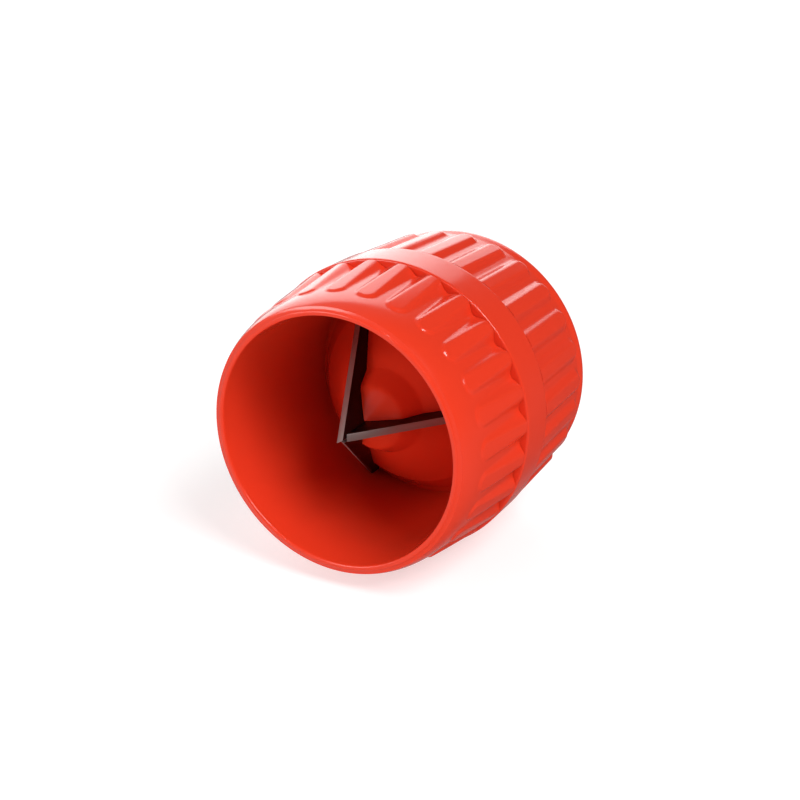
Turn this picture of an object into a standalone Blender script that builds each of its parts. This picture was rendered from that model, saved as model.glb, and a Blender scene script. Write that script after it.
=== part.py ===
"""Inner and outer tube deburring tool: two ribbed shells and a band clamp three straight steel strips.

The tool lies on its side. Its axis runs along +Y and the inner-deburring mouth faces -Y.
The origin is the middle of the box under the tool. Everything is in metres.
"""

import math

import bmesh
import bpy

MM = 0.001

# Driving dimensions. "Depth" is the distance behind the front mouth plane, along the axis.
LENGTH = 52.0 * MM
BAND_RADIUS = 29.0 * MM
BAND_FRONT = 20.5 * MM
BAND_BACK = 29.2 * MM
MOUTH_RADIUS = 23.7 * MM
MOUTH_EDGE_DEPTH = 0.5 * MM
LIP_FLAT = (24.1 * MM, 24.6 * MM)
BAND_EDGE = 0.5 * MM
GAP = 0.3 * MM

# Three strips, standing edge-on to the axis and leaning outwards towards the back.
STRIP_THICKNESS = 1.5 * MM
STRIP_WIDTH = 8.0 * MM
STRIP_TIP_DEPTH = 2.5 * MM
STRIP_SLOPE = 1.31
STRIP_END_RADIUS = 24.2 * MM
STRIP_FIRST_ANGLE = 121.0
STRIP_INNER_RADII = (-0.35 * MM, 0.8 * MM, 0.8 * MM)
STRIP_AXIAL_WIDTH = STRIP_WIDTH * math.sqrt(1 + STRIP_SLOPE**2)

# The grip: raised bars with sloping sides, evenly spaced round both shells.
# Each runs from a round tip to a square end at the band, and BAR_WIDTH is taken halfway up its side.
BAR_COUNT = 27
BAR_PHASE = 30.0
BAR_WIDTH = 3.7 * MM
BAR_SIDE_SLOPE = math.tan(math.radians(52))
BAR_ROOT = 0.3 * MM
BAR_TIP_ANGLES = (90, 60, 30)
FRONT_BAR = (5.6 * MM, 20.1 * MM)
FRONT_BAR_HEIGHTS = (0.3 * MM, 1.2 * MM)
REAR_BAR = (48.6 * MM, 29.6 * MM)
REAR_BAR_HEIGHTS = (0.85 * MM, 1.0 * MM)

# The outside between the bars, as (depth, radius) in millimetres.
FRONT_FLOOR = ((0.4, 25.0), (1.2, 25.55), (2.5, 26.05), (5.0, 26.46), (20.2, 27.35))
REAR_FLOOR = ((29.5, 27.9), (48.6, 27.35))
REAR_RIM = ((49.4, 27.75), (50.5, 27.65), (51.4, 27.2), (52.0, 26.4), (52.0, 24.6), (51.3, 23.9))

# The conical web that fills the space between the strips, and the boss in its middle.
WEB_MIDDLE_AT_AXIS = 11.8 * MM
WEB_SLOPE = 1.06
WEB_HALF = 1.8 * MM
WEB_SPLIT = 0.15 * MM
CUP_WALL_RADIUS = 23.6 * MM
FUNNEL_WALL_RADIUS = 22.95 * MM
BOSS_TIP_DEPTH = 10.2 * MM
BOSS_RIM_RADIUS = 6.9 * MM
BOSS_RIM_DEPTH = 14.4 * MM
BOSS_RIM_EDGE = 0.4 * MM
BOSS_BASE_RADIUS = 7.2 * MM
BOSS_BACK_DEPTH = 13.4 * MM

# The joint between the shells: a spigot on the front shell enters a bore in the rear shell.
SPIGOT_RADIUS = 25.3 * MM
BORE_RADIUS = 25.6 * MM
NECK_RADIUS = 27.0 * MM
SNAP_DEPTH = 24.0 * MM
SNAP_HEIGHT = 0.35 * MM
SNAP_LENGTH = 1.4 * MM

SEGMENTS = 2 * BAR_COUNT
# Flats are this much closer to the axis than corners, so rings are drawn round the true circle.
CIRCUMSCRIBE = 1 / math.cos(math.pi / SEGMENTS)
AXIS_HEIGHT = BAND_RADIUS

RED = (0.80, 0.045, 0.016, 1.0)
STEEL = (0.10, 0.10, 0.11, 1.0)


def clear_scene():
    for item in list(bpy.data.objects):
        bpy.data.objects.remove(item, do_unlink=True)


def make_material(name, colour, roughness, metallic):
    material = bpy.data.materials.new(name)
    material.use_nodes = True
    shader = material.node_tree.nodes["Principled BSDF"]
    shader.inputs["Base Color"].default_value = colour
    shader.inputs["Roughness"].default_value = roughness
    shader.inputs["Metallic"].default_value = metallic
    return material


def along(points, depth):
    """The radius at this depth on a line through (depth, radius) points, both in millimetres there."""
    depth = depth / MM
    for (y0, r0), (y1, r1) in zip(points, points[1:]):
        if depth <= y1:
            break
    share = (depth - y0) / (y1 - y0)
    return (r0 + share * (r1 - r0)) * MM


def to_profile(points):
    return [(radius * MM, depth * MM) for depth, radius in points]


def strip_front(radius):
    return STRIP_TIP_DEPTH + STRIP_SLOPE * radius


def strip_back(radius):
    return strip_front(radius) + STRIP_AXIAL_WIDTH


def web_middle(radius):
    return WEB_MIDDLE_AT_AXIS + WEB_SLOPE * radius


def finish_mesh(name, work, material):
    """Puts a bmesh, built round the Y axis from the mouth back, into a named object at its place."""
    bmesh.ops.remove_doubles(work, verts=work.verts, dist=1e-7)
    bmesh.ops.recalc_face_normals(work, faces=work.faces)
    mesh = bpy.data.meshes.new(name)
    work.to_mesh(mesh)
    work.free()
    mesh.shade_smooth()
    mesh.set_sharp_from_angle(angle=math.radians(30))
    mesh.materials.append(material)
    item = bpy.data.objects.new(name, mesh)
    item.location = (0, -LENGTH / 2, AXIS_HEIGHT)
    bpy.context.scene.collection.objects.link(item)
    return item


def hide_helper(item):
    item.hide_render = True
    item.display_type = "WIRE"
    return item


def turned(name, profile, material):
    """A closed ring turned round the Y axis from (radius, depth) points; points at radius 0 become poles."""
    work = bmesh.new()
    rings = []
    for radius, depth in profile:
        if radius == 0:
            rings.append([work.verts.new((0, depth, 0))])
            continue
        reach = radius * CIRCUMSCRIBE
        ring = []
        for step in range(SEGMENTS):
            turn = 2 * math.pi * step / SEGMENTS
            ring.append(work.verts.new((reach * math.cos(turn), depth, reach * math.sin(turn))))
        rings.append(ring)
    for here, there in zip(rings, rings[1:] + rings[:1]):
        if len(here) == 1 and len(there) == 1:
            continue
        for step in range(SEGMENTS):
            after = (step + 1) % SEGMENTS
            corners = [here[step % len(here)], here[after % len(here)]]
            corners += [there[after % len(there)], there[step % len(there)]]
            work.faces.new(list(dict.fromkeys(corners)))
    return finish_mesh(name, work, material)


def bar_half_outline(tip, end):
    """One side of a bar from its round tip to its square end: ((sideways, depth), outward) rows."""
    half = BAR_WIDTH / 2
    onward = math.copysign(1, end - tip)
    rows = []
    for degrees in BAR_TIP_ANGLES:
        sideways = math.cos(math.radians(degrees))
        ahead = -onward * math.sin(math.radians(degrees))
        rows.append(((half * sideways, tip + onward * half + half * ahead), (sideways, ahead)))
    for depth in (tip + onward * half, (tip + end) / 2, end):
        rows.append(((half, depth), (1, 0)))
    return rows


def bar_layer(work, rows, angle, outset, radius):
    """A bar's outline, moved outwards by outset(depth) and laid at radius(depth): (right, left) vertices."""
    sides = []
    for sign in (1, -1):
        side = []
        for index, ((sideways, depth), (out_sideways, out_ahead)) in enumerate(rows):
            if index == 0 and sides:
                side.append(sides[0][0])
                continue
            out = outset(depth)
            reach = radius(depth)
            turn = angle + sign * (sideways + out * out_sideways) / reach
            along_axis = depth + out * out_ahead
            side.append(work.verts.new((reach * math.cos(turn), along_axis, reach * math.sin(turn))))
        sides.append(side)
    return sides


def add_bar(work, angle, span, heights, floor):
    """A bar whose height above the floor goes from heights[0] at its tip to heights[1] at its end."""

    def height(depth):
        share = (depth - span[0]) / (span[1] - span[0])
        return heights[0] + share * (heights[1] - heights[0])

    def root_outset(depth):
        return (height(depth) / 2 + BAR_ROOT) / BAR_SIDE_SLOPE

    def top_outset(depth):
        return -height(depth) / 2 / BAR_SIDE_SLOPE

    rows = bar_half_outline(*span)
    root = bar_layer(work, rows, angle, root_outset, lambda depth: along(floor, depth) - BAR_ROOT)
    top = bar_layer(work, rows, angle, top_outset, lambda depth: along(floor, depth) + height(depth))
    for lower, upper in zip(root, top):
        for step in range(len(rows) - 1):
            work.faces.new([lower[step], lower[step + 1], upper[step + 1], upper[step]])
    for right, left in (root, top):
        for step in range(len(rows) - 1):
            corners = [right[step], right[step + 1], left[step + 1], left[step]]
            work.faces.new(list(dict.fromkeys(corners)))
    work.faces.new([root[0][-1], top[0][-1], top[1][-1], root[1][-1]])


def make_bars(name, span, heights, floor, material):
    work = bmesh.new()
    for index in range(BAR_COUNT):
        angle = math.radians(BAR_PHASE + 360 * index / BAR_COUNT)
        add_bar(work, angle, span, heights, floor)
    return hide_helper(finish_mesh(name, work, material))


def slab(name, outline, angle, thickness, material):
    """A flat plate through the axis at this angle: (radius, depth) outline points, thickness across."""
    work = bmesh.new()
    outward = (math.cos(angle), math.sin(angle))
    across = (-math.sin(angle), math.cos(angle))
    faces = []
    for offset in (-thickness / 2, thickness / 2):
        corners = []
        for radius, depth in outline:
            x = radius * outward[0] + offset * across[0]
            z = radius * outward[1] + offset * across[1]
            corners.append(work.verts.new((x, depth, z)))
        faces.append(corners)
        work.faces.new(corners)
    count = len(outline)
    for step in range(count):
        after = (step + 1) % count
        work.faces.new([faces[0][step], faces[0][after], faces[1][after], faces[1][step]])
    return finish_mesh(name, work, material)


def apply_boolean(target, tool, operation, name):
    modifier = target.modifiers.new(name, "BOOLEAN")
    modifier.operation = operation
    modifier.solver = "EXACT"
    modifier.object = tool


def strip_angles():
    return [math.radians(STRIP_FIRST_ANGLE - 120 * index) for index in range(3)]


def cut_slots(shell, label, outline_for, material):
    """Cuts the three strip slots, each one clearance wider than its strip."""
    for index, angle in enumerate(strip_angles()):
        name = f"{label}_slot_cutter_{index + 1}"
        cutter = slab(name, outline_for(), angle, STRIP_THICKNESS + 2 * GAP, material)
        apply_boolean(shell, hide_helper(cutter), "DIFFERENCE", f"slot_{index + 1}")


def edge_clearance():
    """The strip clearance measured along the axis instead of square to the strip's edge."""
    return GAP * math.sqrt(1 + STRIP_SLOPE**2)


def web_front(radius):
    return web_middle(radius) - WEB_HALF


def web_back(radius):
    return web_middle(radius) + WEB_HALF


def front_shell_profile():
    """Outside from the lip to the joint, along the spigot, across the web's back, home through the cup."""
    outside = [(radius, 0.0) for radius in LIP_FLAT] + to_profile(FRONT_FLOOR)
    joint = [
        (SPIGOT_RADIUS, BAND_FRONT - GAP),
        (SPIGOT_RADIUS, SNAP_DEPTH),
        (SPIGOT_RADIUS + SNAP_HEIGHT, SNAP_DEPTH + SNAP_HEIGHT),
        (SPIGOT_RADIUS, SNAP_DEPTH + SNAP_LENGTH),
    ]
    back = [
        (SPIGOT_RADIUS, web_middle(SPIGOT_RADIUS) - WEB_SPLIT),
        (BOSS_BASE_RADIUS, web_middle(BOSS_BASE_RADIUS) - WEB_SPLIT),
        (0, BOSS_BACK_DEPTH),
    ]
    boss = [
        (0, BOSS_TIP_DEPTH),
        (BOSS_RIM_RADIUS - BOSS_RIM_EDGE, BOSS_RIM_DEPTH - BOSS_RIM_EDGE / 2),
        (BOSS_RIM_RADIUS, BOSS_RIM_DEPTH + BOSS_RIM_EDGE),
        (BOSS_BASE_RADIUS, web_front(BOSS_BASE_RADIUS)),
    ]
    cup = [(CUP_WALL_RADIUS, web_front(CUP_WALL_RADIUS)), (MOUTH_RADIUS, MOUTH_EDGE_DEPTH)]
    return outside + joint + back + boss + cup


def rear_shell_profile():
    """Outside from the neck under the band to the rear rim, then in across the web and back down the bore."""
    web_inner = BOSS_BASE_RADIUS + 2 * GAP
    groove = SNAP_HEIGHT + GAP / 2
    outside = [
        (BORE_RADIUS, BAND_FRONT),
        (NECK_RADIUS, BAND_FRONT),
        (NECK_RADIUS, BAND_BACK + GAP),
    ]
    outside += to_profile(REAR_FLOOR + REAR_RIM)
    web = [
        (FUNNEL_WALL_RADIUS, web_back(FUNNEL_WALL_RADIUS)),
        (web_inner, web_back(web_inner)),
        (web_inner, web_middle(web_inner) + WEB_SPLIT),
        (BORE_RADIUS, web_middle(BORE_RADIUS) + WEB_SPLIT),
    ]
    bore = [
        (BORE_RADIUS, SNAP_DEPTH + SNAP_LENGTH + GAP),
        (BORE_RADIUS + groove, SNAP_DEPTH + SNAP_HEIGHT),
        (BORE_RADIUS, SNAP_DEPTH - GAP),
    ]
    return outside + web + bore


def front_slot_outline():
    """Everything from just ahead of the strip's front edge to behind the shell, past the axis."""
    inner = -STRIP_THICKNESS / 2 - GAP
    outer = STRIP_END_RADIUS + GAP
    clearance = edge_clearance()
    return [
        (inner, strip_front(inner) - clearance),
        (outer, strip_front(outer) - clearance),
        (outer, LENGTH),
        (inner, LENGTH),
    ]


def rear_slot_outline():
    """Everything from ahead of the web to just behind the strip's rear edge."""
    inner = BOSS_RIM_RADIUS
    outer = STRIP_END_RADIUS + GAP
    ahead = SPIGOT_RADIUS / 2
    clearance = edge_clearance()
    return [
        (inner, ahead),
        (outer, ahead),
        (outer, strip_back(outer) + clearance),
        (inner, strip_back(inner) + clearance),
    ]


def make_front_shell(material):
    shell = turned("front_shell", front_shell_profile(), material)
    bars = make_bars("front_bars_helper", FRONT_BAR, FRONT_BAR_HEIGHTS, FRONT_FLOOR, material)
    apply_boolean(shell, bars, "UNION", "grip_bars")
    cut_slots(shell, "front", front_slot_outline, material)


def make_rear_shell(material):
    shell = turned("rear_shell", rear_shell_profile(), material)
    bars = make_bars("rear_bars_helper", REAR_BAR, REAR_BAR_HEIGHTS, REAR_FLOOR, material)
    apply_boolean(shell, bars, "UNION", "grip_bars")
    cut_slots(shell, "rear", rear_slot_outline, material)


def make_band(material):
    inner = NECK_RADIUS + GAP
    profile = [
        (inner, BAND_FRONT),
        (BAND_RADIUS - BAND_EDGE, BAND_FRONT),
        (BAND_RADIUS, BAND_FRONT + BAND_EDGE),
        (BAND_RADIUS, BAND_BACK - BAND_EDGE),
        (BAND_RADIUS - BAND_EDGE, BAND_BACK),
        (inner, BAND_BACK),
    ]
    turned("center_band", profile, material)


def make_blades(material):
    for index, angle in enumerate(strip_angles()):
        inner = STRIP_INNER_RADII[index]
        outline = [
            (inner, strip_front(inner)),
            (STRIP_END_RADIUS, strip_front(STRIP_END_RADIUS)),
            (STRIP_END_RADIUS, strip_back(STRIP_END_RADIUS)),
            (inner, strip_back(inner)),
        ]
        slab(f"blade_{index + 1}", outline, angle, STRIP_THICKNESS, material)


def main():
    clear_scene()
    plastic = make_material("red_plastic", RED, 0.28, 0.0)
    steel = make_material("blade_steel", STEEL, 0.35, 1.0)
    make_front_shell(plastic)
    make_rear_shell(plastic)
    make_band(plastic)
    make_blades(steel)


main()
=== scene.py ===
"""Looks of the inner and outer tube deburring tool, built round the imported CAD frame.

Lengths are in millimetres until a mesh is made. "Depth" runs back from the front mouth plane along
the tool's axis, "radius" out from that axis, and "turn" is the angle about it in degrees, counted
anticlockwise from +X as seen from the mouth.
"""

import math

import bmesh
import bpy
import numpy as np
from mathutils import Matrix, Vector


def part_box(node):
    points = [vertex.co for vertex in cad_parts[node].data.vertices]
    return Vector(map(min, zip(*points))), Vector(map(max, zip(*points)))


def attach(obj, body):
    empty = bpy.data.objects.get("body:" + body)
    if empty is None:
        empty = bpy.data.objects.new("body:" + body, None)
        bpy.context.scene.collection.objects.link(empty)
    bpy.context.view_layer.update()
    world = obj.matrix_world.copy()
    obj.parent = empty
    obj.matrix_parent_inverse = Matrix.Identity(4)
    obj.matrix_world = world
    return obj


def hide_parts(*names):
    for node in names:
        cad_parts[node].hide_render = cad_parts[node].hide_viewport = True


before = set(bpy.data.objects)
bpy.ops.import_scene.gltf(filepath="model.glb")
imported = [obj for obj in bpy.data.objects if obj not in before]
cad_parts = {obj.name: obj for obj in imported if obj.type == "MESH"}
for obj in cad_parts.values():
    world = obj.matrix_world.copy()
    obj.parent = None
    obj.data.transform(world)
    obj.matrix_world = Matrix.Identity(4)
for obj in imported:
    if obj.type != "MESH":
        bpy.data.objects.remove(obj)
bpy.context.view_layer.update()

MM = 0.001

# Sizes that the frame gives.
FRONT_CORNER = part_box("front_shell")[0]
REAR_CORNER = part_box("rear_shell")[1]
BAND_LOW, BAND_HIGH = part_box("center_band")
MOUTH_Y = FRONT_CORNER.y
AXIS_Z = (BAND_LOW.z + BAND_HIGH.z) / 2
LENGTH = (REAR_CORNER.y - MOUTH_Y) / MM
BAND_RADIUS = (BAND_HIGH.z - BAND_LOW.z) / 2 / MM
BAND_FRONT = (BAND_LOW.y - MOUTH_Y) / MM
BAND_BACK = (BAND_HIGH.y - MOUTH_Y) / MM

# The mouth and the wall of the front shell.
MOUTH_RADIUS = 23.7
LIP_RADIUS = 24.5
LIP_DEPTH = 0.3
NOSE_RADIUS = 25.2
NOSE_SWELL = 1.25
NOSE_LENGTH = 2.3
FRONT_FLARE = 0.048

# The grip bars.
BAR_COUNT = 27
BAR_PHASE = 30.0
BAR_HALF_WIDTH = 1.85
FRONT_BAR_TIP = 5.6
REAR_BAR_TIP = 48.6
FLANK_SLOPE = math.tan(math.radians(42))

# The steel strips.
STRIP_THICKNESS = 1.5
STRIP_WIDTH = 8.0
STRIP_TIP_DEPTH = 2.5
STRIP_SLOPE = 1.31
STRIP_END_RADIUS = 24.2
STRIP_FIRST_TURN = 121.0
STRIP_INNER_RADII = (-0.35, 0.8, 0.8)
STRIP_AXIAL_WIDTH = STRIP_WIDTH * math.sqrt(1 + STRIP_SLOPE**2)
STRIP_FIT = 0.04

# The web between the strips, the gutter round its edge and the boss in its middle.
WEB_MIDDLE_AT_AXIS = 11.8
WEB_SLOPE = 1.06
WEB_HALF = 1.8
BOSS_TIP_DEPTH = 10.2
BOSS_RIM_RADIUS = 6.3
BOSS_RIM_DEPTH = 14.6
BOSS_BASE_RADIUS = 7.2
BOSS_BACK_DEPTH = 13.4
BOSS_FOOT_RADIUS = 8.4
CUP_END_RADIUS = 23.6
GUTTER_START_RADIUS = 18.5
GUTTER_RADIUS = 21.8
GUTTER_DEPTH = 1.4
FUNNEL_END_RADIUS = 22.95

# The joint between the shells.
SPIGOT_RADIUS = 25.3
BORE_RADIUS = 25.6
NECK_RADIUS = 27.0
SPLIT_HALF = 0.15
SNAP_HEIGHT = 0.25

# Columns round a turned piece, the bend in degrees above which an edge is drawn sharp, and the strips'
# edge break.
COLUMNS = BAR_COUNT * 24
SHELL_SHARP = 32
STRIP_SHARP = 30
STRIP_EDGE = 0.08

# Colours, as linear red, green and blue.
RED_PLASTIC = (0.76, 0.041, 0.014)
DARK_STEEL = (0.035, 0.033, 0.032)
# Ground edge steel, tinted red and darkened: painted red reflection from the red cup and painted shade
# over the steel's own pale grey.
GROUND_STEEL_PAINTED_REFLECTION_AND_SHADE = (0.32, 0.24, 0.225)

# The studio, in metres, watts and degrees. A light is given by where it is seen from the tool, how far
# away it stands, how wide it is and its power.
KEY_LIGHT = ((0.6, -0.3, 0.74), 1.1, 0.5, 11.0)
FILL_LIGHT = ((-0.55, -0.8, 0.22), 1.0, 0.35, 2.6)
GLINT_LIGHT = ((0.02, -0.845, 0.54), 1.0, 0.08, 0.4)
FLOOR_HALF = 3.0
FLOOR_COLOUR = 0.5
FLOOR_GLOW = 0.6
CARD_SIZE = (1.1, 0.95)
CARD_PLACE = (-0.04, 1.0, 0.001)
CARD_TURN = 24
CARD_FADE = (0.0, -0.45)
CARD_GLOW = (0.5, 1.7)
WORLD_FADE = (0.3, -0.7)
WORLD_LEVELS = (0.06, 0.45)

# The camera, placed in millimetres from the middle of the mouth.
CAMERA_PLACE = (119.1, -197.8, 96.9)
CAMERA_AZIMUTH = 28.08
CAMERA_ELEVATION = 20.98
CAMERA_LENS = 63.1


def smooth_step(value):
    value = np.clip(value, 0.0, 1.0)
    return value * value * (3 - 2 * value)


def strip_front(radius):
    return STRIP_TIP_DEPTH + STRIP_SLOPE * radius


def strip_back(radius):
    return strip_front(radius) + STRIP_AXIAL_WIDTH


def web_middle(radius):
    return WEB_MIDDLE_AT_AXIS + WEB_SLOPE * radius


def web_front(radius):
    return web_middle(radius) - WEB_HALF


def web_back(radius):
    return web_middle(radius) + WEB_HALF


def rounded(corners, step=0.25):
    """A (radius, depth) line through corners of (radius, depth, fillet), with arcs at the fillets."""
    line = []
    count = len(corners)
    for index, (radius, depth, fillet) in enumerate(corners):
        here = Vector((radius, depth))
        if fillet <= 0 or index in (0, count - 1):
            line.append(here)
            continue
        back = Vector(corners[index - 1][:2]) - here
        ahead = Vector(corners[index + 1][:2]) - here
        bend = back.angle(ahead)
        reach = min(fillet / math.tan(bend / 2), 0.49 * back.length, 0.49 * ahead.length)
        start = here + back.normalized() * reach
        end = here + ahead.normalized() * reach
        steps = max(3, int((math.pi - bend) / math.radians(9)))
        for k in range(steps + 1):
            share = k / steps
            a = start.lerp(here, share)
            b = here.lerp(end, share)
            line.append(a.lerp(b, share))
    filled = [line[0]]
    for here in line[1:]:
        gap = (here - filled[-1]).length
        if gap < 1e-4:
            continue
        pieces = max(1, int(math.ceil(gap / max(step, 0.02))))
        start = filled[-1].copy()
        for k in range(1, pieces + 1):
            filled.append(start.lerp(here, k / pieces))
    return [(p.x, p.y) for p in filled]


def turns():
    return np.arange(COLUMNS) * (360.0 / COLUMNS) + BAR_PHASE


def plain_rings(line):
    """Rings of (radius, depth) arrays for a turned stretch."""
    return [(np.full(COLUMNS, radius), np.full(COLUMNS, depth)) for radius, depth in line]


def bar_relief(behind_tip, height, radius):
    """How far the surface stands above the floor this far behind a bar's round tip, for every column."""
    pitch = 360.0 / BAR_COUNT
    offset = (turns() - BAR_PHASE + pitch / 2) % pitch - pitch / 2
    sideways = np.radians(offset) * radius
    ahead = max(BAR_HALF_WIDTH - behind_tip, 0.0)
    inside = BAR_HALF_WIDTH - np.hypot(sideways, ahead)
    flank = 1.5 * height / FLANK_SLOPE + 0.25
    return height * smooth_step(inside / flank + 0.5)


def grip_rings(depths, floor, rise, tip):
    """Rings over a floor radius and the bars that rise from it, whose round ends are at the tip depth."""
    rings = []
    for depth in depths:
        base = floor(depth)
        behind_tip = depth - tip if tip < BAND_FRONT else tip - depth
        radius = base + bar_relief(behind_tip, rise(depth), base)
        rings.append((radius, np.full(COLUMNS, depth)))
    return rings


def front_floor(depth):
    return NOSE_RADIUS + NOSE_SWELL * (1 - math.exp(-depth / NOSE_LENGTH)) + FRONT_FLARE * depth


def front_rise(depth):
    share = (depth - FRONT_BAR_TIP) / (BAND_FRONT - FRONT_BAR_TIP)
    return 0.3 + 1.1 * min(max(share, 0.0), 1.0)


def rear_floor(depth):
    share = (depth - BAND_BACK) / (LENGTH - BAND_BACK)
    return 27.9 - 0.65 * share


def rear_rise(depth):
    share = (depth - BAND_BACK) / (LENGTH - BAND_BACK)
    return 1.0 - 0.15 * share


def depth_steps(first, last, step):
    count = max(1, int(round((last - first) / step)))
    return [first + (last - first) * k / count for k in range(count + 1)]


def closed_mesh(name, rings):
    """A closed turned body from rings that run once round its section. A ring at radius 0 is a pole."""
    angles = np.radians(turns())
    verts = []
    starts = []
    for radius, depth in rings:
        starts.append(len(verts))
        if np.all(radius == 0):
            verts.append((0.0, float(depth[0]), 0.0))
            continue
        x = radius * np.cos(angles)
        z = radius * np.sin(angles)
        verts.extend(zip(x.tolist(), depth.tolist(), z.tolist()))
    sizes = [b - a for a, b in zip(starts, starts[1:] + [len(verts)])]
    faces = []
    count = len(rings)
    for k in range(count):
        a, b = starts[k], starts[(k + 1) % count]
        na, nb = sizes[k], sizes[(k + 1) % count]
        if na == 1 and nb == 1:
            continue
        for i in range(COLUMNS):
            j = (i + 1) % COLUMNS
            if na == 1:
                faces.append((a, b + j, b + i))
            elif nb == 1:
                faces.append((a + i, a + j, b))
            else:
                faces.append((a + i, a + j, b + j, b + i))
    mesh = bpy.data.meshes.new(name)
    mesh.from_pydata(verts, [], faces)
    return mesh


def place(mesh):
    """Scales a mesh made in millimetres round the axis to metres at the tool's place."""
    mesh.transform(Matrix.Translation((0, MOUTH_Y, AXIS_Z)) @ Matrix.Scale(MM, 4))
    mesh.update()


def add_object(name, mesh):
    item = bpy.data.objects.new(name, mesh)
    bpy.context.scene.collection.objects.link(item)
    return item


def face_outward(mesh):
    work = bmesh.new()
    work.from_mesh(mesh)
    bmesh.ops.recalc_face_normals(work, faces=work.faces)
    work.to_mesh(mesh)
    work.free()


def front_shell_rings():
    """Lip, grip, spigot, back of the web and boss, then the cup from the boss out to the mouth."""
    lip = [
        (MOUTH_RADIUS, 3.0, 0),
        (MOUTH_RADIUS, 0.0, 0.4),
        (LIP_RADIUS, 0.0, 0.4),
        (front_floor(1.2), 1.2, 0),
    ]
    rings = plain_rings([point for point in rounded(lip, 0.1) if point[1] <= LIP_DEPTH])
    depths = depth_steps(LIP_DEPTH + 0.08, FRONT_BAR_TIP - 1.0, 0.2)
    depths += depth_steps(FRONT_BAR_TIP - 0.8, FRONT_BAR_TIP + 2.6, 0.17)
    depths += depth_steps(FRONT_BAR_TIP + 2.8, BAND_FRONT - 0.12, 0.4)
    rings += grip_rings(depths, front_floor, front_rise, FRONT_BAR_TIP)
    back = BAND_FRONT - 0.1
    joint = [
        (26.9, back, 0),
        (SPIGOT_RADIUS, back, 0.2),
        (SPIGOT_RADIUS, 24.0, 0),
        (SPIGOT_RADIUS + SNAP_HEIGHT, 24.35, 0),
        (SPIGOT_RADIUS, 25.4, 0),
        (SPIGOT_RADIUS, web_middle(SPIGOT_RADIUS) - SPLIT_HALF, 0),
        (BOSS_BASE_RADIUS, web_middle(BOSS_BASE_RADIUS) - SPLIT_HALF, 0.3),
        (0.4, BOSS_BACK_DEPTH, 0),
    ]
    rings += plain_rings(rounded(joint, 1.5))
    rings.append((np.zeros(COLUMNS), np.full(COLUMNS, BOSS_BACK_DEPTH)))
    rings.append((np.zeros(COLUMNS), np.full(COLUMNS, BOSS_TIP_DEPTH)))
    cup = [
        (0.3, BOSS_TIP_DEPTH + 0.05, 0),
        (BOSS_RIM_RADIUS, BOSS_RIM_DEPTH, 2.5),
        (BOSS_FOOT_RADIUS, web_front(BOSS_FOOT_RADIUS), 2.5),
        (GUTTER_START_RADIUS, web_front(GUTTER_START_RADIUS), 2.0),
        (GUTTER_RADIUS, web_front(GUTTER_RADIUS) + GUTTER_DEPTH, 2.0),
        (CUP_END_RADIUS, web_front(CUP_END_RADIUS) + GUTTER_DEPTH, 0),
        (MOUTH_RADIUS, 0.6, 0),
    ]
    rings += plain_rings(rounded(cup, 0.6))
    return rings


def rear_shell_rings():
    """Neck, grip and rim, then the funnel, the front of the web and the bore."""
    start = BAND_BACK + 0.1
    neck = [
        (BORE_RADIUS, BAND_FRONT + 0.3, 0),
        (NECK_RADIUS, BAND_FRONT + 0.3, 0),
        (NECK_RADIUS, start, 0),
        (27.7, start, 0),
    ]
    rings = plain_rings(rounded(neck, 1.5))
    depths = depth_steps(start + 0.02, REAR_BAR_TIP - 2.6, 0.45)
    depths += depth_steps(REAR_BAR_TIP - 2.4, REAR_BAR_TIP + 0.6, 0.17)
    rings += grip_rings(depths, rear_floor, rear_rise, REAR_BAR_TIP)
    rim = [
        (rear_floor(REAR_BAR_TIP + 0.7), REAR_BAR_TIP + 0.7, 0),
        (27.55, REAR_BAR_TIP + 2.2, 2.5),
        (27.45, LENGTH, 1.6),
        (24.3, LENGTH, 0.8),
        (FUNNEL_END_RADIUS, web_back(FUNNEL_END_RADIUS), 1.0),
        (7.8, web_back(7.8), 0.5),
        (7.8, web_middle(7.8) + SPLIT_HALF, 0.1),
        (BORE_RADIUS, web_middle(BORE_RADIUS) + SPLIT_HALF, 0.1),
        (BORE_RADIUS, 25.7, 0),
        (BORE_RADIUS + SNAP_HEIGHT, 24.35, 0),
        (BORE_RADIUS, 23.7, 0),
        (BORE_RADIUS, BAND_FRONT + 0.5, 0),
    ]
    rings += plain_rings(rounded(rim, 0.6))
    return rings


def band_rings():
    inner = NECK_RADIUS + 0.1
    section = [
        (inner, BAND_FRONT + 4, 0),
        (inner, BAND_FRONT, 0.1),
        (BAND_RADIUS, BAND_FRONT, 0.45),
        (BAND_RADIUS, BAND_BACK, 0.45),
        (inner, BAND_BACK, 0.1),
        (inner, BAND_FRONT + 4.2, 0),
    ]
    return plain_rings(rounded(section, 0.8))


def strip_turns():
    return [math.radians(STRIP_FIRST_TURN - 120 * k) for k in range(3)]


def slab_mesh(name, outline, turn, thickness):
    """A plate that holds the axis: (radius, depth) outline points, thickness across."""
    outward = Vector((math.cos(turn), 0, math.sin(turn)))
    across = Vector((-math.sin(turn), 0, math.cos(turn)))
    work = bmesh.new()
    sides = []
    for offset in (-thickness / 2, thickness / 2):
        side = []
        for radius, depth in outline:
            side.append(work.verts.new(outward * radius + across * offset + Vector((0, depth, 0))))
        sides.append(side)
        work.faces.new(side)
    count = len(outline)
    for k in range(count):
        j = (k + 1) % count
        work.faces.new([sides[0][k], sides[0][j], sides[1][j], sides[1][k]])
    bmesh.ops.recalc_face_normals(work, faces=work.faces)
    mesh = bpy.data.meshes.new(name)
    work.to_mesh(mesh)
    work.free()
    return mesh


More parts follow.
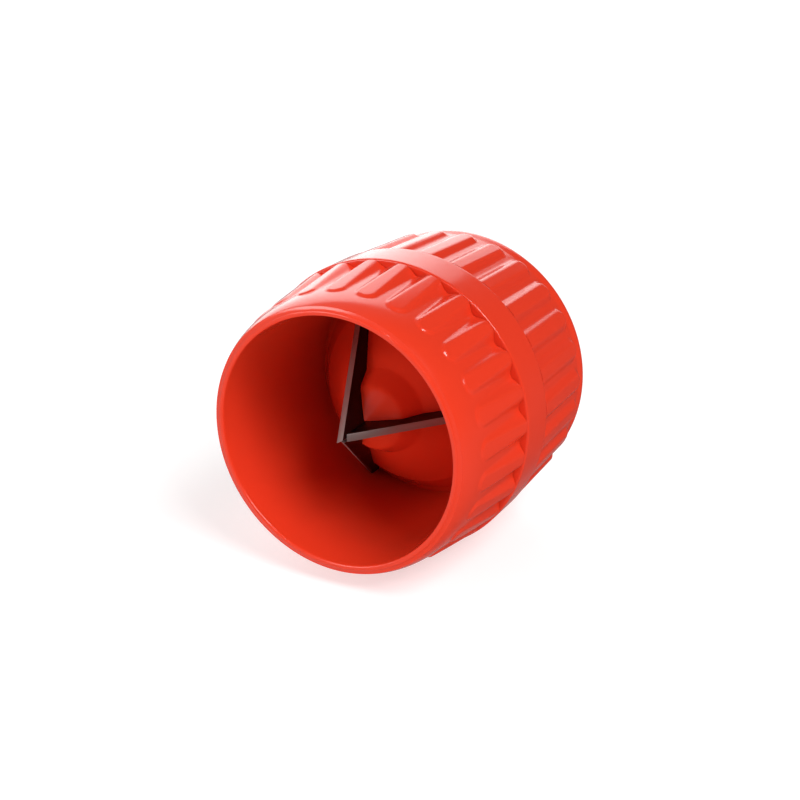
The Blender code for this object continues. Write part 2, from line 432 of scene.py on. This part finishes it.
def cut(target, cutters):
    """Takes the cutters' shapes out of the target and removes the cutters."""
    for cutter in cutters:
        modifier = target.modifiers.new(cutter.name, "BOOLEAN")
        modifier.operation = "DIFFERENCE"
        modifier.solver = "MANIFOLD"
        modifier.object = cutter
    graph = bpy.context.evaluated_depsgraph_get()
    mesh = bpy.data.meshes.new_from_object(target.evaluated_get(graph))
    target.modifiers.clear()
    target.data = mesh
    for cutter in cutters:
        bpy.data.objects.remove(cutter, do_unlink=True)


def strip_outline(inner, fit):
    outer = STRIP_END_RADIUS + fit
    along = fit * math.sqrt(1 + STRIP_SLOPE**2)
    return [
        (inner, strip_front(inner) - along),
        (outer, strip_front(outer) - along),
        (outer, strip_back(outer) + along),
        (inner, strip_back(inner) + along),
    ]


def slot_cutters(label):
    cutters = []
    for index, turn in enumerate(strip_turns()):
        outline = strip_outline(-STRIP_THICKNESS / 2 - STRIP_FIT, STRIP_FIT)
        mesh = slab_mesh(f"{label}_{index}", outline, turn, STRIP_THICKNESS + 2 * STRIP_FIT)
        place(mesh)
        cutters.append(add_object(f"{label}_{index}", mesh))
    return cutters


def turned_piece(name, rings, material):
    mesh = closed_mesh(name, rings)
    face_outward(mesh)
    place(mesh)
    item = add_object(name, mesh)
    mesh.materials.append(material)
    return item


def finish_piece(item, node, sharp):
    item.data.shade_smooth()
    item.data.set_sharp_from_angle(angle=math.radians(sharp))
    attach(item, "root")
    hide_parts(node)


def node(tree, kind, **inputs):
    made = tree.nodes.new(kind)
    for key, value in inputs.items():
        made.inputs[key.replace("_", " ")].default_value = value
    return made


def plastic_material(name, colour):
    """Glossy moulded plastic: faint ripple from the mould, and a gloss that varies with handling."""
    material = bpy.data.materials.new(name)
    material.use_nodes = True
    tree = material.node_tree
    link = tree.links.new
    shader = tree.nodes["Principled BSDF"]
    shader.inputs["IOR"].default_value = 1.5
    shader.inputs["Base Color"].default_value = (*colour, 1)
    shader.inputs["Subsurface Weight"].default_value = 0.0
    place_on = tree.nodes.new("ShaderNodeTexCoord")
    ripple = node(tree, "ShaderNodeTexNoise", Scale=220.0, Detail=2.0, Roughness=0.5)
    smear = node(tree, "ShaderNodeTexNoise", Scale=70.0, Detail=5.0, Roughness=0.6)
    for texture in (ripple, smear):
        link(place_on.outputs["Object"], texture.inputs["Vector"])
    gloss = node(tree, "ShaderNodeMapRange")
    gloss.inputs["From Min"].default_value = 0.3
    gloss.inputs["From Max"].default_value = 0.7
    gloss.inputs["To Min"].default_value = 0.13
    gloss.inputs["To Max"].default_value = 0.22
    link(smear.outputs["Fac"], gloss.inputs["Value"])
    link(gloss.outputs["Result"], shader.inputs["Roughness"])
    bump = node(tree, "ShaderNodeBump", Strength=0.12, Distance=0.00005)
    link(ripple.outputs["Fac"], bump.inputs["Height"])
    link(bump.outputs["Normal"], shader.inputs["Normal"])
    return material


def steel_material(name, colour, rough, metallic):
    """Hardened steel with fine grinding lines."""
    material = bpy.data.materials.new(name)
    material.use_nodes = True
    tree = material.node_tree
    link = tree.links.new
    shader = tree.nodes["Principled BSDF"]
    shader.inputs["Base Color"].default_value = (*colour, 1)
    shader.inputs["Metallic"].default_value = metallic
    place_on = tree.nodes.new("ShaderNodeTexCoord")
    lines = node(tree, "ShaderNodeTexNoise", Scale=900.0, Detail=3.0, Roughness=0.6)
    link(place_on.outputs["Object"], lines.inputs["Vector"])
    gloss = node(tree, "ShaderNodeMapRange")
    gloss.inputs["To Min"].default_value = rough * 0.8
    gloss.inputs["To Max"].default_value = rough * 1.2
    link(lines.outputs["Fac"], gloss.inputs["Value"])
    link(gloss.outputs["Result"], shader.inputs["Roughness"])
    bump = node(tree, "ShaderNodeBump", Strength=0.2, Distance=0.00003)
    link(lines.outputs["Fac"], bump.inputs["Height"])
    link(bump.outputs["Normal"], shader.inputs["Normal"])
    return material


def make_blades(side_material, edge_material):
    """The strips, dark on their flat sides and bright on their ground edges. The ground edges' red,
    darkened tone is painted red reflection from the cup and painted shade over the steel's own pale grey.
    """
    for index, turn in enumerate(strip_turns()):
        name = f"blade_{index + 1}_steel"
        mesh = slab_mesh(name, strip_outline(STRIP_INNER_RADII[index], 0), turn, STRIP_THICKNESS)
        work = bmesh.new()
        work.from_mesh(mesh)
        edges = work.edges[:]
        bmesh.ops.bevel(work, geom=edges, offset=STRIP_EDGE, segments=2, profile=0.5, affect="EDGES")
        work.to_mesh(mesh)
        work.free()
        slope = Vector((-STRIP_SLOPE * math.cos(turn), 1, -STRIP_SLOPE * math.sin(turn))).normalized()
        mesh.materials.append(side_material)
        mesh.materials.append(edge_material)
        for face in mesh.polygons:
            face.material_index = 1 if abs(face.normal.dot(slope)) > 0.6 else 0
        place(mesh)
        finish_piece(add_object(name, mesh), f"blade_{index + 1}", STRIP_SHARP)


def stage_material(name, colour, glow):
    material = bpy.data.materials.new(name)
    material.use_nodes = True
    shader = material.node_tree.nodes["Principled BSDF"]
    shader.inputs["Base Color"].default_value = (colour, colour, colour, 1)
    shader.inputs["Roughness"].default_value = 0.9
    shader.inputs["Emission Color"].default_value = (1, 1, 1, 1)
    shader.inputs["Emission Strength"].default_value = glow
    return material


def fade_node(tree, given, wanted):
    """A node that fades smoothly from one wanted level to the other between two given values."""
    fade = tree.nodes.new("ShaderNodeMapRange")
    fade.interpolation_type = "SMOOTHSTEP"
    fade.inputs["From Min"].default_value, fade.inputs["From Max"].default_value = given
    fade.inputs["To Min"].default_value, fade.inputs["To Max"].default_value = wanted
    return fade


def make_floor():
    """The pale floor, left out of mirror-like reflections, which would wash out the red underneath."""
    mesh = bpy.data.meshes.new("floor")
    half = FLOOR_HALF
    corners = [(-half, -half, 0), (half, -half, 0), (half, half, 0), (-half, half, 0)]
    mesh.from_pydata(corners, [], [(0, 1, 2, 3)])
    mesh.materials.append(stage_material("pale_floor", FLOOR_COLOUR, FLOOR_GLOW))
    item = add_object("floor", mesh)
    item.visible_glossy = False


def make_backdrop():
    """A lit white card that stands behind the tool to its left, brighter towards its far side."""
    width, height = CARD_SIZE
    mesh = bpy.data.meshes.new("backdrop")
    corners = [(0, 0, 0), (-width, 0, 0), (-width, 0, height), (0, 0, height)]
    mesh.from_pydata(corners, [], [(0, 1, 2, 3)])
    material = stage_material("backdrop_card", 0.8, 1.0)
    tree = material.node_tree
    place_on = tree.nodes.new("ShaderNodeTexCoord")
    parts = tree.nodes.new("ShaderNodeSeparateXYZ")
    glow = fade_node(tree, CARD_FADE, CARD_GLOW)
    tree.links.new(place_on.outputs["Object"], parts.inputs["Vector"])
    tree.links.new(parts.outputs["X"], glow.inputs["Value"])
    tree.links.new(glow.outputs["Result"], tree.nodes["Principled BSDF"].inputs["Emission Strength"])
    mesh.materials.append(material)
    item = add_object("backdrop", mesh)
    item.location = CARD_PLACE
    item.rotation_euler = (0, 0, math.radians(CARD_TURN))


def area_light(name, toward, distance, size, watts):
    """A square light this far from the middle of the tool in the direction given, aimed at it."""
    middle = Vector((0, 0, AXIS_Z))
    data = bpy.data.lights.new(name, "AREA")
    data.shape = "SQUARE"
    data.size = size
    data.energy = watts
    lamp = bpy.data.objects.new(name, data)
    lamp.location = middle + Vector(toward).normalized() * distance
    lamp.rotation_euler = (middle - lamp.location).to_track_quat("-Z", "Y").to_euler()
    bpy.context.scene.collection.objects.link(lamp)


def make_lights():
    """A key from the upper right, a fill from the left and a small light in front."""
    area_light("key", *KEY_LIGHT)
    area_light("fill", *FILL_LIGHT)
    area_light("glint", *GLINT_LIGHT)


def make_world():
    """Soft white room light, brighter from the left."""
    world = bpy.data.worlds.new("studio")
    world.use_nodes = True
    tree = world.node_tree
    background = tree.nodes["Background"]
    background.inputs["Color"].default_value = (1, 1, 1, 1)
    direction = tree.nodes.new("ShaderNodeTexCoord")
    parts = tree.nodes.new("ShaderNodeSeparateXYZ")
    level = fade_node(tree, WORLD_FADE, WORLD_LEVELS)
    tree.links.new(direction.outputs["Generated"], parts.inputs["Vector"])
    tree.links.new(parts.outputs["X"], level.inputs["Value"])
    tree.links.new(level.outputs["Result"], background.inputs["Strength"])
    bpy.context.scene.world = world


def make_camera():
    """The camera stands to the right of the mouth and above it, and looks back and down at the tool."""
    azimuth = math.radians(CAMERA_AZIMUTH)
    elevation = math.radians(CAMERA_ELEVATION)
    level = math.cos(elevation)
    forward = Vector((-math.sin(azimuth) * level, math.cos(azimuth) * level, -math.sin(elevation)))
    data = bpy.data.cameras.new("camera")
    data.sensor_width = 36.0
    data.lens = CAMERA_LENS
    data.clip_start, data.clip_end = 0.01, 20
    camera = bpy.data.objects.new("camera", data)
    camera.location = Vector(CAMERA_PLACE) * MM + Vector((0, MOUTH_Y, AXIS_Z))
    camera.rotation_euler = forward.to_track_quat("-Z", "Y").to_euler()
    bpy.context.scene.collection.objects.link(camera)
    bpy.context.scene.camera = camera


def main():
    body = plastic_material("body_plastic", RED_PLASTIC)
    band = plastic_material("band_plastic", RED_PLASTIC)
    dark = steel_material("blackened_steel", DARK_STEEL, 0.35, 1.0)
    # The ground edges' colour carries a painted red reflection and painted shade.
    bright = steel_material("ground_steel_painted_reflection_and_shade", GROUND_STEEL_PAINTED_REFLECTION_AND_SHADE, 0.42, 0.7)
    front = turned_piece("front_shell_body", front_shell_rings(), body)
    cut(front, slot_cutters("front_slot"))
    finish_piece(front, "front_shell", SHELL_SHARP)
    rear = turned_piece("rear_shell_body", rear_shell_rings(), body)
    cut(rear, slot_cutters("rear_slot"))
    finish_piece(rear, "rear_shell", SHELL_SHARP)
    sleeve = turned_piece("center_band_sleeve", band_rings(), band)
    finish_piece(sleeve, "center_band", SHELL_SHARP)
    make_blades(dark, bright)
    make_floor()
    make_backdrop()
    make_lights()
    make_world()
    make_camera()
    bpy.context.scene.view_settings.view_transform = "Standard"


main()
